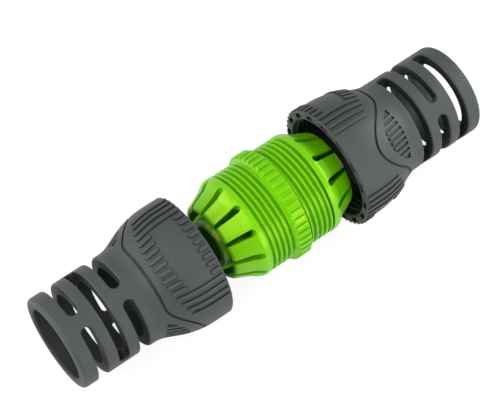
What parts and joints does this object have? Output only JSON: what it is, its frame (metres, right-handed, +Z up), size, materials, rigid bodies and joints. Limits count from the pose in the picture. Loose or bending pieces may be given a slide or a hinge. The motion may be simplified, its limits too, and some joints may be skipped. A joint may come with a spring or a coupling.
{
  "type": "hose mender",
  "caption": "Screw-together hose mender: a threaded body with two hose spigots and clamping fingers, and two nuts with slotted bend sleeves.",
  "frame": {"origin": "middle of the waterway: on its axis, halfway between the two spigot ends, in the middle plane of the toothed collar", "axes": "X along the waterway, with the nearer nut of the picture on the -X side; Z up, the mender lying"},
  "size_m": [0.1639, 0.045, 0.045],
  "materials": {
    "green_body": "glossy moulded acetal",
    "nut_cover": "matte soft-touch moulding",
    "nut_liner": "matte hard moulding"
  },
  "bodies": {
    "centre": {"centre_body": "green_body"},
    "left_liner": {"left_nut_liner": "nut_liner"},
    "left_cover": {"left_nut_cover": "nut_cover"},
    "right_liner": {"right_nut_liner": "nut_liner"},
    "right_cover": {"right_nut_cover": "nut_cover"}
  },
  "joints": [
    {"name": "left_nut_travel", "type": "slide", "parent": "centre", "child": "left_liner", "axis": [1, 0, 0], "range_m": [0, 0.0281]},
    {"name": "left_nut_turn", "type": "hinge", "parent": "left_liner", "child": "left_cover", "pos_m": [0, 0, 0], "axis": [1, 0, 0], "range_deg": [0, 5058]},
    {"name": "right_nut_travel", "type": "slide", "parent": "centre", "child": "right_liner", "axis": [-1, 0, 0], "range_m": [0, 0.0206]},
    {"name": "right_nut_turn", "type": "hinge", "parent": "right_liner", "child": "right_cover", "pos_m": [0, 0, 0], "axis": [-1, 0, 0], "range_deg": [0, 3708]}
  ],
  "couplings": [
    {"joint": "left_nut_travel", "follows": "left_nut_turn", "m_per_rad": 0.00031831},
    {"joint": "right_nut_travel", "follows": "right_nut_turn", "m_per_rad": 0.00031831}
  ]
}
